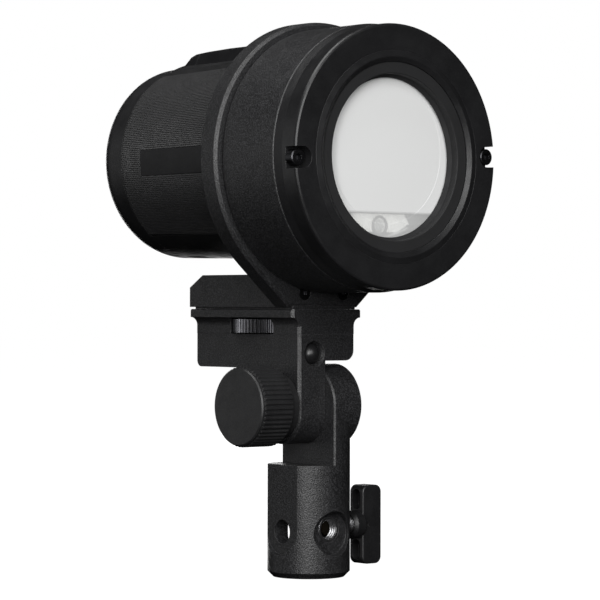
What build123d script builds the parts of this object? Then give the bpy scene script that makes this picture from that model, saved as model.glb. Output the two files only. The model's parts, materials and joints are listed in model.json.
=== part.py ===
"""Compact battery monolight in a ring adapter, on a tilting stand bracket.

Millimetres, +Z up. The origin is the centre of the stand socket's bottom face, so the spigot bore
opens at Z = 0. The light shines along -Y, and the tilt axis runs along X.
"""

import os
from math import acos, atan2, cos, hypot, pi, radians, sin, sqrt

from build123d import *

# Heights of the main axes above the socket's bottom face.
TILT_Z = 66.2
RING_Z = 160.4
HEAD_Z = 162.9
CROSS_HOLE_Z = 17.8
SCREW_Z = 18.8

# Stand socket, which takes a 16 mm (5/8 inch) spigot.
SOCKET_R = 16.0
SPIGOT_BORE_R = 8.05
SPIGOT_DEPTH = 38.0
SOCKET_TOP = 43.5
SOCKET_CHAMFER = 2.2
FLAT_X = -13.3
SPOT_FACE_Y = -12.0
SPOT_FACE_R = 8.65
SPOT_FACE_Z = 17.3
CROSS_HOLE_R = 4.6
REAR_HOLE_R = 6.2
RELIEF_Z = (10.7, 11.3)
INSERT_R = 5.0
INSERT_BORE_R = 3.4

# Tilt joint: a tongue on the socket, an arm on the bracket and one M8 bolt through both.
TONGUE_X = (-0.5, 13.8)
TONGUE_R = sqrt(SOCKET_R**2 - TONGUE_X[0] ** 2)
BOLT_R = 3.97
BOLT_HOLE_R = 4.04
BOLT_HEAD_R = 7.2
ARM_X = (-13.7, -0.6)
ARM_R = 15.2
ARM_TOE_R = 12.0
CORNER_CHAMFER = 1.1

# Clamp screw with its T bar.
SCREW_R = 3.95
T_BAR_X = (24.4, 34.1)
T_BAR_HALF_Y = 4.0
T_BAR_HALF_Z = 15.5
HUB_R = 5.6

# Tilt knob.
KNOB_R = 15.4
KNOB_FACE_X = -35.2
KNOB_BACK_X = -19.9
KNOB_COLLAR_X = -15.3
KNOB_RIBS = 50
KNOB_RIB_DEPTH = 0.55

# Bracket block, clamp shoe and adapter foot, from below.
BLOCK_HALF_X = 13.7
BLOCK_Y = (-10.5, 53.2)
BLOCK_BOTTOM = 83.6
LEFT_WALL_BOTTOM = 80.5
LEFT_WALL_X = -7.5
BLOCK_TOP = 93.8
LIP_HALF_X = 17.1
COVE_R = 3.3
COVE_BOTTOM = 96.9
SHOE_TOP = 103.4
FOOT_BOTTOM = 104.2
FOOT_TOP = 116.8
FOOT_HALF_X = 17.3
FOOT_CHAMFER = (8.3, 4.9)
PAD_HALF_X = 15.6
PAD_Z = (SHOE_TOP + 0.01, FOOT_BOTTOM + 0.5)
PAD_END = 52.0
RAIL_FLOOR = 101.0
RAIL_NECK = 8.5
RAIL_BASE = 10.5
RAIL_END = 50.0

# Clamp thumbwheel.
WHEEL_Y = 18.3
WHEEL_R = 18.3
WHEEL_Z = (94.2, 99.5)
WHEEL_RIDGES = 64
WINDOW_HALF_Y = 13.2
WINDOW_TOP = 99.9
LOCK_SCREW_R = 3.0

# Release button in the bracket's front face.
BUTTON_X = -6.0
BUTTON_Z = 86.3
BUTTON_R = 3.8
BUTTON_DISH = (5.0, 1.8)

# Adapter: teardrop plate, drum and accessory ring, all round the ring axis.
PLATE_R = 53.5
PLATE_Y = (-9.0, 0.0)
PLATE_CHAMFER = 1.1
DRUM_R = 50.7
DRUM_BORE_R = 48.2
DRUM_REAR = -9.7
DRUM_FRONT = -39.8
RING_R = 50.0
RING_FACE = -51.5
RING_LAND_END = -44.0
RING_REAR = -39.85
RING_CAVITY_R = 44.0
RING_CAVITY_Y = -45.5
TRIM_R = (35.75, 40.0)
TRIM_REAR = -48.5
SLOT_HALF = 4.0
SLOT_CENTRE_R = 46.0
SLOT_FLOOR = -46.2
RING_SCREW_R = 47.1
RING_TURN = -2.1
OPENING_R = 31.3
GLASS_EDGE_R = 30.0
SLEEVE_R = (40.3, 42.0)

# Flash head, round the head axis.
HEAD_R = 40.0
TAPER_START = 4.0
TAPER = 1.3 / 74
HEAD_FRONT = -45.2
SHELL_FRONT = -42.7
COLLAR_END = 2.0
CAP_FRONT = 70.5
HEAD_REAR = 88.0
CAP_FILLET = 10.0
CAP_WALL = 2.4
SKIN = 1.2
SHELL_WALL = 2.0
PANEL_TOP = 132.7
BADGE_Y = (14.2, 57.8)
BADGE_Z = (155.9, 166.1)
PORT_Y = (56.5, 68.5)
PORT_HALF_X = 8.0
PORT_HINGE = (67.9, 0.65, 0.5)
INTAKE_Y = (20.0, 32.0)
EXHAUST_Y = (72.6, 78.6)

# Battery pack and its bay in the top of the head.
PACK_HALF_X = 15.0
PACK_Y = (2.4, 61.2)
PACK_BOTTOM = 173.0
PACK_TOP = 206.5
LATCH_Y = 53.2
LATCH_BOTTOM = 199.5
LATCH_GAP = 1.3
BAY_HALF_X = 18.5
BAY_RAISE = 1.5
BAY_END = 64.2
CELL_R = 5.2
CELL_Y = (5.0, 55.0)

# Rear controls.
DIAL_R = 9.5
DIAL_Z = HEAD_Z - 14.0
DISPLAY_HALF_X = 17.0
DISPLAY_Z = (HEAD_Z + 1.0, HEAD_Z + 21.0)
KEY_X = 17.0
KEY_R = 3.8
BOARD_Y = (76.0, 77.6)
SWITCH_Y = 79.4

GAP = 0.1


def block(x, y, z):
    """A box between the two limits given along each axis."""
    size = [high - low for low, high in (x, y, z)]
    centre = [(high + low) / 2 for low, high in (x, y, z)]
    return Pos(*centre) * Box(*size)


def both(half):
    """The limits of something centred on an axis."""
    return (-half, half)


def rod_x(radius, x, y=0.0, z=0.0):
    return Pos((x[0] + x[1]) / 2, y, z) * Rot(0, 90, 0) * Cylinder(radius, x[1] - x[0])


def rod_y(radius, y, x=0.0, z=RING_Z):
    return Pos(x, (y[0] + y[1]) / 2, z) * Rot(90, 0, 0) * Cylinder(radius, y[1] - y[0])


def rod_z(radius, z, x=0.0, y=0.0):
    return Pos(x, y, (z[0] + z[1]) / 2) * Cylinder(radius, z[1] - z[0])


def turned_y(outline, axis_z):
    """Revolves an outline of (radius, Y) points about the axis along Y at the given height."""
    points = [(radius, y, axis_z) for radius, y in outline]
    face = make_face(Polyline(*points, close=True))
    return revolve(face, Axis((0, 0, axis_z), (0, 1, 0)), 360)


def turned_x(outline, y, z):
    """Revolves an outline of (X, radius) points about an axis along X."""
    points = [(x, y + radius, z) for x, radius in outline]
    face = make_face(Polyline(*points, close=True))
    return revolve(face, Axis((0, y, z), (1, 0, 0)), 360)


def tube_y(inner, outer, y, z=RING_Z):
    return rod_y(outer, y, 0.0, z) - rod_y(inner, (y[0] - 1, y[1] + 1), 0.0, z)


def slab_y(outline, y):
    """A plate with the given outline of (X, Z) points, between two Y planes."""
    face = make_face(Polyline(*[(x, y[0], z) for x, z in outline], close=True))
    return extrude(face, y[1] - y[0], dir=(0, 1, 0))


def ridged(plane, radius, depth, count, length):
    """A disc with rounded V ridges round its rim."""
    step = 2 * pi / count
    points = []
    for i in range(count):
        for offset, r in ((0.0, radius), (0.28, radius), (0.5, radius - depth), (0.78, radius - depth)):
            angle = (i + offset) * step
            points.append((r * cos(angle), r * sin(angle)))
    return extrude(plane * make_face(Polyline(*points, close=True)), length)


def edges_at(shape, axis, position):
    """The edges that lie wholly in one plane across an axis."""
    found = ShapeList()
    for edge in shape.edges():
        box = edge.bounding_box()
        low = getattr(box.min, axis)
        high = getattr(box.max, axis)
        if abs(low - position) < 0.01 and abs(high - position) < 0.01:
            found.append(edge)
    return found


def coil(radius, wire, y, x, z, turns):
    """A compression spring along Y."""
    length = y[1] - y[0] - 2 * wire
    path = Helix(length / turns, length, radius)
    profile = Plane(path @ 0, z_dir=path % 0) * Circle(wire)
    return Pos(x, y[0] + wire, z) * Rot(-90, 0, 0) * sweep(profile, path=path)


# ---- Stand socket and its clamp screw ----


def stand_socket():
    body = rod_z(SOCKET_R, (0, SOCKET_TOP))
    body = chamfer(edges_at(body, "Z", 0), SOCKET_CHAMFER)
    keep = block((TONGUE_X[0], SOCKET_R + 1), both(SOCKET_R + 1), (SOCKET_TOP, TILT_Z))
    stem = rod_z(SOCKET_R, (SOCKET_TOP - 1, TILT_Z)) & keep
    disc = rod_x(TONGUE_R, TONGUE_X, 0, TILT_Z)
    stem = chamfer(edges_at(stem, "X", TONGUE_X[0]).filter_by(Axis.Z), 0.6)
    disc = chamfer(edges_at(disc, "X", TONGUE_X[0]), 0.6)
    disc = chamfer(edges_at(disc, "X", TONGUE_X[1]), 0.8)
    body = body + stem + disc
    body -= block((-SOCKET_R - 1, FLAT_X), both(SOCKET_R), (CROSS_HOLE_Z, SOCKET_TOP + 1))
    body -= rod_x(sqrt(SOCKET_R**2 - FLAT_X**2), (-SOCKET_R - 1, FLAT_X), 0, CROSS_HOLE_Z)
    body -= rod_y(SPOT_FACE_R, (-SOCKET_R - 1, SPOT_FACE_Y), 0, SPOT_FACE_Z)
    body -= rod_z(SPIGOT_BORE_R, (-1, SPIGOT_DEPTH))
    body -= rod_z(SPIGOT_BORE_R + 0.3, RELIEF_Z)
    body -= rod_x(CROSS_HOLE_R, (-SOCKET_R - 1, 0), 0, CROSS_HOLE_Z)
    body -= rod_y(REAR_HOLE_R, (0, SOCKET_R + 1), 0, CROSS_HOLE_Z)
    body -= rod_y(INSERT_R, (-SOCKET_R, 0), 0, SCREW_Z)
    body -= rod_x(SCREW_R + 0.05, (0, SOCKET_R + 1), 0, SCREW_Z)
    body -= rod_x(BOLT_HOLE_R, (TONGUE_X[0] - 1, TONGUE_X[1] + 1), 0, TILT_Z)
    return body - rod_x(BOLT_HEAD_R + 0.4, (TONGUE_X[1] - 5.6, TONGUE_X[1] + 1), 0, TILT_Z)


def thread_insert():
    span = (SPOT_FACE_Y + 0.1, SPOT_FACE_Y + 4.0)
    bush = rod_y(INSERT_R - 0.01, span, 0, SCREW_Z)
    return bush - rod_y(INSERT_BORE_R, (span[0] - 1, span[1] + 1), 0, SCREW_Z)


def clamp_pad():
    pad = rod_x(SCREW_R - 0.25, (8.35, 10.3), 0, SCREW_Z)
    return chamfer(edges_at(pad, "X", 8.35), 0.4)


def clamp_screw():
    screw = rod_x(SCREW_R, (10.35, T_BAR_X[0] + 3.0), 0, SCREW_Z)
    for i in range(4):
        x = 16.4 + 0.8 * i
        screw -= rod_x(9, (x, x + 0.4), 0, SCREW_Z) - rod_x(
            SCREW_R - 0.4, (x - 1, x + 2), 0, SCREW_Z
        )
    return screw


def t_handle():
    bar = block(T_BAR_X, both(T_BAR_HALF_Y), (SCREW_Z - T_BAR_HALF_Z, SCREW_Z + T_BAR_HALF_Z))
    bar = fillet(bar.edges().filter_by(Axis.Y), 2.8)
    bar = fillet(bar.edges().group_by(Axis.Y)[0] + bar.edges().group_by(Axis.Y)[-1], 0.7)
    hub = rod_x(HUB_R, (T_BAR_X[0] - 4.6, T_BAR_X[0] + 0.5), 0, SCREW_Z)
    hub = chamfer(edges_at(hub, "X", T_BAR_X[0] - 4.6), 1.2)
    body = bar + hub
    for side in (-1, 1):
        z = SCREW_Z + side * 9.9
        pocket = block((T_BAR_X[0] - 1, T_BAR_X[0] + 3.5), both(2.4), (z - 1.6, z + 1.6))
        for end in (-1.6, 1.6):
            pocket += rod_x(2.4, (T_BAR_X[0] - 1, T_BAR_X[0] + 3.5), 0, z + end)
        body -= pocket
    return body - rod_x(SCREW_R + 0.02, (T_BAR_X[0] - 6, T_BAR_X[0] + 3.0), 0, SCREW_Z)


# ---- Tilt joint ----


def tilt_bolt():
    plane = Plane((TONGUE_X[1] - 5.5, 0, TILT_Z), x_dir=(0, 1, 0), z_dir=(1, 0, 0))
    head = extrude(plane * RegularPolygon(BOLT_HEAD_R, 6), 4.6)
    return head + rod_x(BOLT_R, (KNOB_FACE_X + 6.0, TONGUE_X[1] - 5.4), 0, TILT_Z)


def friction_washer():
    return rod_x(10.0, (ARM_X[1] - 1.15, ARM_X[1] + 0.05), 0, TILT_Z) - rod_x(
        BOLT_HOLE_R, (ARM_X[1] - 2, ARM_X[1] + 1), 0, TILT_Z
    )


def knob_washer():
    return rod_x(10.5, (ARM_X[0] - 1.45, ARM_X[0] - 0.05), 0, TILT_Z) - rod_x(
        BOLT_HOLE_R, (ARM_X[0] - 2, ARM_X[0] + 1), 0, TILT_Z
    )


def tilt_knob():
    plane = Plane((KNOB_FACE_X, 0, TILT_Z), x_dir=(0, 1, 0), z_dir=(1, 0, 0))
    body = ridged(plane, KNOB_R, KNOB_RIB_DEPTH, KNOB_RIBS, KNOB_BACK_X - KNOB_FACE_X)
    smooth_r = KNOB_R - KNOB_RIB_DEPTH
    envelope = turned_x(
        [
            (KNOB_FACE_X, 0),
            (KNOB_FACE_X, smooth_r - 0.5),
            (KNOB_FACE_X + 0.5, smooth_r),
            (KNOB_FACE_X + 1.3, smooth_r),
            (KNOB_FACE_X + 1.6, KNOB_R + 0.01),
            (KNOB_BACK_X - 0.7, KNOB_R + 0.01),
            (KNOB_BACK_X, KNOB_R - 0.7),
            (KNOB_BACK_X, 0),
        ],
        0,
        TILT_Z,
    )
    body = body & envelope
    body += rod_x(12.6, (KNOB_BACK_X - 1, KNOB_COLLAR_X), 0, TILT_Z)
    return body - rod_x(7.0, (KNOB_FACE_X + 4.0, 0), 0, TILT_Z)


def knob_insert():
    span = (KNOB_FACE_X + 4.2, KNOB_COLLAR_X)
    return rod_x(6.98, span, 0, TILT_Z) - rod_x(BOLT_HOLE_R, (span[0] + 1.5, 0), 0, TILT_Z)


# ---- Bracket, clamp shoe and thumbwheel ----


def screw_places():
    """Places of the screws that hold the shoe on the bracket, with their head seats' heights."""
    return ((8.0, -5.0, BLOCK_BOTTOM), (8.0, 46.0, BLOCK_BOTTOM), (-9.6, 46.0, LEFT_WALL_BOTTOM))


def on_circle(centre, radius, angle):
    return (centre[0] + radius * cos(angle), centre[1] + radius * sin(angle))


def bracket_arm():
    """The arm round the tilt bolt. Its toe is a smaller circle that touches the large one inside."""
    top = BLOCK_BOTTOM + 1
    front = BLOCK_Y[0]
    toe_y = front + ARM_TOE_R
    toe_z = TILT_Z - sqrt((ARM_R - ARM_TOE_R) ** 2 - toe_y**2)
    touch = atan2(toe_z - TILT_Z, toe_y)
    toe, heel = (toe_y, toe_z), (0, TILT_Z)
    meeting = on_circle(heel, ARM_R, touch)
    outline = [
        Line((front, top), (front, toe_z)),
        ThreePointArc((front, toe_z), on_circle(toe, ARM_TOE_R, (touch - pi) / 2), meeting),
        ThreePointArc(meeting, on_circle(heel, ARM_R, touch / 2), (ARM_R, TILT_Z)),
        Polyline((ARM_R, TILT_Z), (ARM_R, top), (front, top)),
    ]
    plane = Plane((ARM_X[0], 0, 0), x_dir=(0, 1, 0), z_dir=(1, 0, 0))
    body = extrude(plane * make_face(outline), ARM_X[1] - ARM_X[0])
    return chamfer([e for e in edges_at(body, "X", ARM_X[0]) if e.center().Z < top - 0.5], CORNER_CHAMFER)


def front_left_cut(body, half_x):
    """Bevels the upright edge at a block's front left corner."""
    uprights = body.edges().filter_by(Axis.Z)
    corner = [e for e in uprights if e.center().X < 0.1 - half_x and e.center().Y < BLOCK_Y[0] + 0.1]
    return chamfer(corner, CORNER_CHAMFER)


def tilt_bracket():
    body = front_left_cut(block(both(BLOCK_HALF_X), BLOCK_Y, (BLOCK_BOTTOM, BLOCK_TOP)), BLOCK_HALF_X)
    body = fillet(
        [e for e in body.edges().filter_by(Axis.Y) if e.center().X > 0 and e.center().Z < BLOCK_TOP - 1], 4.0
    )
    wall = block((-BLOCK_HALF_X, LEFT_WALL_X), (0, BLOCK_Y[1]), (LEFT_WALL_BOTTOM, BLOCK_BOTTOM + 1))
    wall = fillet([e for e in wall.edges().filter_by(Axis.X) if e.center().Y > 0 and e.center().Z < 81], 2.6)
    body = body + wall + bracket_arm()
    body -= rod_x(BOLT_HOLE_R, (ARM_X[0] - 1, ARM_X[1] + 1), 0, TILT_Z)
    body -= rod_x(10.05, (ARM_X[1] - 1.2, ARM_X[1] + 1), 0, TILT_Z)
    body -= rod_y(BUTTON_R + 0.15, (BLOCK_Y[0] - 1, 2.0), BUTTON_X, BUTTON_Z)
    dish_r, dish_depth = BUTTON_DISH
    dish = Rot(90, 0, 0) * Cone(BUTTON_R + 0.15, dish_r, dish_depth)
    body -= Pos(BUTTON_X, BLOCK_Y[0] + dish_depth / 2, BUTTON_Z) * dish
    for x, y, seat in screw_places():
        body -= rod_z(2.1, (seat - 1, BLOCK_TOP + 1), x, y)
        body -= rod_z(3.7, (seat - 1, seat + 4.4), x, y)
    return body


def bracket_screws():
    screws = []
    for x, y, seat in screw_places():
        screw = rod_z(3.5, (seat + 0.4, seat + 4.3), x, y) + rod_z(2.0, (seat + 4.3, BLOCK_TOP + 5.0), x, y)
        screw -= Pos(x, y, seat + 1.4) * extrude(RegularPolygon(1.7, 6), 2.0, both=True)
        screws.append(screw)
    return Compound(children=screws)


def clamp_shoe():
    body = front_left_cut(block(both(BLOCK_HALF_X + 0.1), BLOCK_Y, (BLOCK_TOP, SHOE_TOP)), BLOCK_HALF_X)
    body += front_left_cut(block(both(LIP_HALF_X), BLOCK_Y, (COVE_BOTTOM, SHOE_TOP)), LIP_HALF_X)
    for x in both(LIP_HALF_X):
        body -= rod_y(COVE_R, (BLOCK_Y[0] - 1, BLOCK_Y[1] + 1), x, COVE_BOTTOM)
    body = chamfer([e for e in body.edges().filter_by(Axis.Y) if e.center().Z > SHOE_TOP - 0.1], 0.5)
    body -= rail(0.15, (0.0, BLOCK_Y[1] + 1), SHOE_TOP + 1)
    body -= rod_z(WHEEL_R + 0.5, (BLOCK_TOP - 1, WINDOW_TOP), 0, WHEEL_Y)
    window = (WHEEL_Y - WINDOW_HALF_Y, WHEEL_Y + WINDOW_HALF_Y)
    body -= block(both(LIP_HALF_X + 2), window, (BLOCK_TOP - 1, WINDOW_TOP))
    body -= rod_z(LOCK_SCREW_R + 0.1, (BLOCK_TOP, SHOE_TOP), 0, WHEEL_Y)
    for x, y, _ in screw_places():
        body -= rod_z(2.03, (BLOCK_TOP - 1, BLOCK_TOP + 5.2), x, y)
    return body


def rail(offset, y, top):
    """The dovetail under the adapter foot, grown by an offset."""
    low = RAIL_FLOOR + (0.05 if offset == 0 else 0.0)
    outline = [
        (-RAIL_BASE - offset, low),
        (RAIL_BASE + offset, low),
        (RAIL_NECK + offset, SHOE_TOP),
        (RAIL_NECK + offset, top),
        (-RAIL_NECK - offset, top),
        (-RAIL_NECK - offset, SHOE_TOP),
    ]
    return slab_y(outline, y)


def thumbwheel():
    plane = Plane((0, WHEEL_Y, WHEEL_Z[0]))
    wheel = ridged(plane, WHEEL_R, 0.6, WHEEL_RIDGES, WHEEL_Z[1] - WHEEL_Z[0])
    wheel -= rod_z(LOCK_SCREW_R + 0.05, (BLOCK_TOP, SHOE_TOP), 0, WHEEL_Y)
    recess = rod_z(12.0, (WHEEL_Z[0] - 1, WHEEL_Z[0] + 1.2), 0, WHEEL_Y)
    return wheel - (recess - rod_z(6.0, (WHEEL_Z[0] - 2, WHEEL_Z[1]), 0, WHEEL_Y))


def lock_screw():
    screw = rod_z(LOCK_SCREW_R, (95.6, RAIL_FLOOR - 0.05), 0, WHEEL_Y)
    return chamfer(edges_at(screw, "Z", RAIL_FLOOR - 0.05), 0.5)


def release_button():
    tip = BLOCK_Y[0] - 0.9
    dome = Pos(BUTTON_X, tip + 4.0, BUTTON_Z) * Sphere(4.0)
    barrel = rod_y(BUTTON_R, (tip - 1, tip + 7.5), BUTTON_X, BUTTON_Z)
    return (barrel & (dome + rod_y(6, (tip + 3.0, tip + 9), BUTTON_X, BUTTON_Z))) - rod_y(
        2.4, (tip + 5.0, tip + 9), BUTTON_X, BUTTON_Z
    )


def release_spring():
    return coil(1.7, 0.3, (BLOCK_Y[0] + 4.2, 1.9), BUTTON_X, BUTTON_Z, 6)


# ---- Adapter ----


def teardrop(radius, half_x, bottom):
    """A circle joined by its tangents to the two bottom corners, drawn in X and Z."""
    drop = RING_Z - bottom
    reach = hypot(half_x, drop)
    corner = atan2(-drop, half_x)
    touch = corner + acos(radius / reach)
    tangent = (radius * cos(touch), RING_Z + radius * sin(touch))
    return [(-half_x, bottom), (half_x, bottom), tangent, (-tangent[0], tangent[1])]


def adapter_foot():
    body = block(both(FOOT_HALF_X), (PLATE_Y[1], BLOCK_Y[1] + 0.3), (FOOT_BOTTOM, FOOT_TOP))
    back = BLOCK_Y[1] + 0.3
    run, drop = FOOT_CHAMFER
    wedge = [(back - run, FOOT_TOP), (back + 1, FOOT_TOP - drop * (run + 1) / run), (back + 1, FOOT_TOP + 1)]
    points = [(0, y, z) for y, z in wedge + [(back - run, FOOT_TOP + 1)]]
    body -= extrude(make_face(Polyline(*points, close=True)), FOOT_HALF_X + 1, dir=(1, 0, 0), both=True)
    body += block(both(PAD_HALF_X), (PLATE_Y[1], PAD_END), PAD_Z)
    body += rail(0, (0.5, RAIL_END), FOOT_BOTTOM + 0.5)
    for x in both(9.7):
        body -= rod_y(1.52, (-1, 9.2), x, 109.7)
    body -= block((-10, 10), (9.0, 44), (108, FOOT_TOP + 1))
    return body


def adapter_plate():
    disc = rod_y(PLATE_R, PLATE_Y)
    skirt = slab_y(teardrop(PLATE_R, FOOT_HALF_X, FOOT_BOTTOM), PLATE_Y)
    body = disc + skirt
    body = chamfer(edges_at(body, "Y", PLATE_Y[0]), PLATE_CHAMFER)
    body = chamfer(edges_at(body, "Y", PLATE_Y[1]), 0.5)
    body += block(both(PAD_HALF_X), PLATE_Y, PAD_Z)
    body -= rod_y(SLEEVE_R[1] + 0.05, (PLATE_Y[0] - 1, PLATE_Y[1] + 1), 0, HEAD_Z)
    for x in both(9.7):
        body -= rod_y(1.55, (PLATE_Y[0] - 1, 1), x, 109.7)
        body -= rod_y(2.9, (PLATE_Y[0] - 1, PLATE_Y[0] + 1.6), x, 109.7)
    for x, z in drum_screw_places():
        body -= rod_y(1.55, (PLATE_Y[0] - 1, 1), x, z)
        body -= rod_y(2.7, (PLATE_Y[1] - 2.0, 1), x, z)
    return body


def plate_screws():
    screws = []
    for x in both(9.7):
        screw = rod_y(2.75, (PLATE_Y[0] + 0.05, PLATE_Y[0] + 1.55), x, 109.7)
        screw += rod_y(1.5, (PLATE_Y[0] + 0.1, 9.0), x, 109.7)
        plane = Plane((x, PLATE_Y[0] - 0.2, 109.7), z_dir=(0, 1, 0))
        screws.append(screw - extrude(plane * RegularPolygon(1.3, 6), 1.3))
    return Compound(children=screws)


def drum_screw_places():
    reach = 46.6 * cos(radians(45))
    return [(sx * reach, RING_Z + sz * reach) for sx in (-1, 1) for sz in (-1, 1)]


def ring_turned(shape):
    """Turns a shape about the ring axis to where the front ring is fastened, slightly askew."""
    return Pos(0, 0, RING_Z) * Rot(0, RING_TURN, 0) * Pos(0, 0, -RING_Z) * shape


def adapter_drum():
    body = turned_y(
        [
            (DRUM_BORE_R, DRUM_FRONT + 3.0),
            (RING_CAVITY_R, DRUM_FRONT + 3.0),
            (RING_CAVITY_R, DRUM_FRONT),
            (DRUM_R - 0.3, DRUM_FRONT),
            (DRUM_R, DRUM_FRONT + 0.3),
            (DRUM_R, DRUM_REAR - 0.5),
            (DRUM_R - 0.5, DRUM_REAR),
            (DRUM_R - 1.2, DRUM_REAR),
            (DRUM_R - 1.2, PLATE_Y[0]),
            (20, PLATE_Y[0]),
            (20, PLATE_Y[0] - 3.5),
            (DRUM_BORE_R, PLATE_Y[0] - 3.5),
        ],
        RING_Z,
    )
    body -= rod_y(SLEEVE_R[1] + 0.05, (-20, 0), 0, HEAD_Z)
    for x, z in drum_screw_places():
        body -= rod_y(1.52, (-20, 0), x, z)
    for x in both(RING_SCREW_R):
        body -= ring_turned(rod_y(1.52, (DRUM_FRONT - 1, DRUM_FRONT + 4), x, RING_Z))
    return body


def drum_screws():
    screws = []
    for x, z in drum_screw_places():
        screw = rod_y(2.6, (PLATE_Y[1] - 1.9, PLATE_Y[1] - 0.1), x, z)
        screw += rod_y(1.5, (PLATE_Y[0] - 3.4, PLATE_Y[1] - 1.8), x, z)
        plane = Plane((x, PLATE_Y[1] + 0.1, z), z_dir=(0, -1, 0))
        screws.append(screw - extrude(plane * RegularPolygon(1.3, 6), 1.4))
    return Compound(children=screws)


def front_ring():
    outline = [
        (RING_R - 0.9, RING_FACE),
        (TRIM_R[1] + 0.05, RING_FACE),
        (TRIM_R[1] + 0.05, TRIM_REAR),
        (TRIM_R[1] - 2.15, TRIM_REAR),
        (TRIM_R[1] - 2.15, RING_CAVITY_Y),
        (RING_CAVITY_R, RING_CAVITY_Y),
        (RING_CAVITY_R, RING_REAR),
        (DRUM_R - 0.45, RING_REAR),
        (DRUM_R - 0.1, RING_REAR - 0.35),
        (RING_R, RING_LAND_END),
        (RING_R, RING_FACE + 1.1),
        (RING_R - 0.3, RING_FACE + 0.35),
    ]
    body = turned_y(outline, RING_Z)
    for side in (-1, 1):
        centre = side * SLOT_CENTRE_R
        span = sorted((centre, side * (RING_R + 3)))
        depth = (RING_FACE - 1, SLOT_FLOOR)
        slot = block(span, depth, (RING_Z - SLOT_HALF, RING_Z + SLOT_HALF))
        slot += rod_y(SLOT_HALF, depth, centre, RING_Z)
        slot += rod_y(1.55, (RING_FACE, 0), side * RING_SCREW_R, RING_Z)
        body -= ring_turned(slot)
    return body


def ring_screws():
    screws = []
    for x in both(RING_SCREW_R):
        head = rod_y(3.1, (SLOT_FLOOR - 3.8, SLOT_FLOOR), x, RING_Z)
        head = chamfer(edges_at(head, "Y", SLOT_FLOOR - 3.8), 0.35)
        screw = head + rod_y(1.5, (SLOT_FLOOR - 0.5, DRUM_FRONT + 2.9), x, RING_Z)
        plane = Plane((x, SLOT_FLOOR - 4, RING_Z), z_dir=(0, 1, 0))
        screws.append(ring_turned(screw - extrude(plane * RegularPolygon(1.5, 6), 2.2)))
    return Compound(children=screws)


def trim_ring():
    inner, outer = TRIM_R
    return turned_y(
        [
            (outer, RING_FACE),
            (outer - 0.5, RING_FACE - 0.1),
            (outer - 2.2, RING_FACE - 0.5),
            (outer - 2.5, RING_FACE - 0.5),
            (inner, RING_FACE + 0.5),
            (inner, TRIM_REAR),
            (outer, TRIM_REAR),
        ],
        RING_Z,
    )


def front_baffle():
    return turned_y(
        [
            (TRIM_R[0] - 0.05, RING_FACE + 1.0),
            (OPENING_R + 0.3, RING_FACE + 1.0),
            (OPENING_R, RING_FACE + 1.3),
            (OPENING_R, -47.4),
            (GLASS_EDGE_R, -46.5),
            (GLASS_EDGE_R, -45.9),
            (TRIM_R[1] - 2.25, -45.9),
            (TRIM_R[1] - 2.25, TRIM_REAR + 0.05),
            (TRIM_R[0] - 0.05, TRIM_REAR + 0.05),
        ],
        RING_Z,
    )


def inner_sleeve():
    return tube_y(SLEEVE_R[0], SLEEVE_R[1], (DRUM_FRONT + 4, PLATE_Y[1] - 0.1), HEAD_Z)


# ---- Flash head ----


def barrel_radius(y):
    return HEAD_R - TAPER * max(y - TAPER_START, 0)


def barrel(offset, y):
    """The solid inside the head's outer surface, grown by an offset, between two Y planes."""
    stations = [y[0]] + [TAPER_START] * (y[0] < TAPER_START < y[1]) + [y[1]]
    outline = [(barrel_radius(station) + offset, station) for station in stations]
    return turned_y([(0, y[0])] + outline + [(0, y[1])], HEAD_Z)


def skin(y, thickness=SKIN, proud=0.0):
    """A thin shell that lies in the head's outer surface."""
    return barrel(proud, y) - barrel(-thickness, (y[0] - 1, y[1] + 1))


def above(half_x, y):
    """The space over the top of the head, as wide as the battery bay's parts."""
    return block(both(half_x), y, (HEAD_Z, PACK_TOP + 20))


def vent_slots(y):
    """Cutters for a row of slots along the underside of the head."""
    return [block((x - 0.8, x + 0.8), y, (HEAD_Z - 50, HEAD_Z - 30)) for x in (-8, -4, 0, 4, 8)]


def head_shell():
    depth = SKIN + GAP / 2
    body = barrel(-depth, (SHELL_FRONT, CAP_FRONT)) + rod_y(HEAD_R, (SHELL_FRONT, COLLAR_END), 0, HEAD_Z)
    body -= barrel(-depth - SHELL_WALL, (SHELL_FRONT - 1, CAP_FRONT + 1))
    body -= above(PACK_HALF_X + 0.3, (PACK_Y[0] - 0.3, PACK_Y[1] + 0.3))
    body -= vent_slots(INTAKE_Y)
    return body - block(both(PORT_HALF_X - 2), (PORT_Y[0] + 2, PORT_Y[1] - 2), (100, HEAD_Z - 20))


def grip_sleeve():
    body = skin((COLLAR_END + GAP, CAP_FRONT - GAP))
    body -= above(BAY_HALF_X + 0.15, (-60, 100))
    body -= block(both(60), (-60, 100), (100, PANEL_TOP + GAP))
    body -= block(both(60), (BADGE_Y[0] - GAP, BADGE_Y[1] + GAP), (BADGE_Z[0] - GAP, BADGE_Z[1] + GAP))
    return body


def side_badges():
    return skin(BADGE_Y) & block(both(60), BADGE_Y, BADGE_Z)


def bottom_cover():
    body = skin((COLLAR_END + GAP, CAP_FRONT - GAP)) & block(both(60), (-60, 100), (100, PANEL_TOP))
    body -= vent_slots(INTAKE_Y)
    window = (PORT_Y[0] - 2 * GAP, PORT_Y[1] + 2 * GAP)
    return body - block(both(PORT_HALF_X + 2 * GAP), window, (100, HEAD_Z))


def bay_frame():
    span = (COLLAR_END + GAP, CAP_FRONT - GAP)
    body = skin(span) & above(BAY_HALF_X, span)
    raised = skin((COLLAR_END + GAP, BAY_END), SKIN, BAY_RAISE)
    body += raised & above(BAY_HALF_X, (COLLAR_END + GAP, BAY_END))
    return body - above(PACK_HALF_X + 0.25, (PACK_Y[0] - 0.2, PACK_Y[1] + 0.2))


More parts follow.
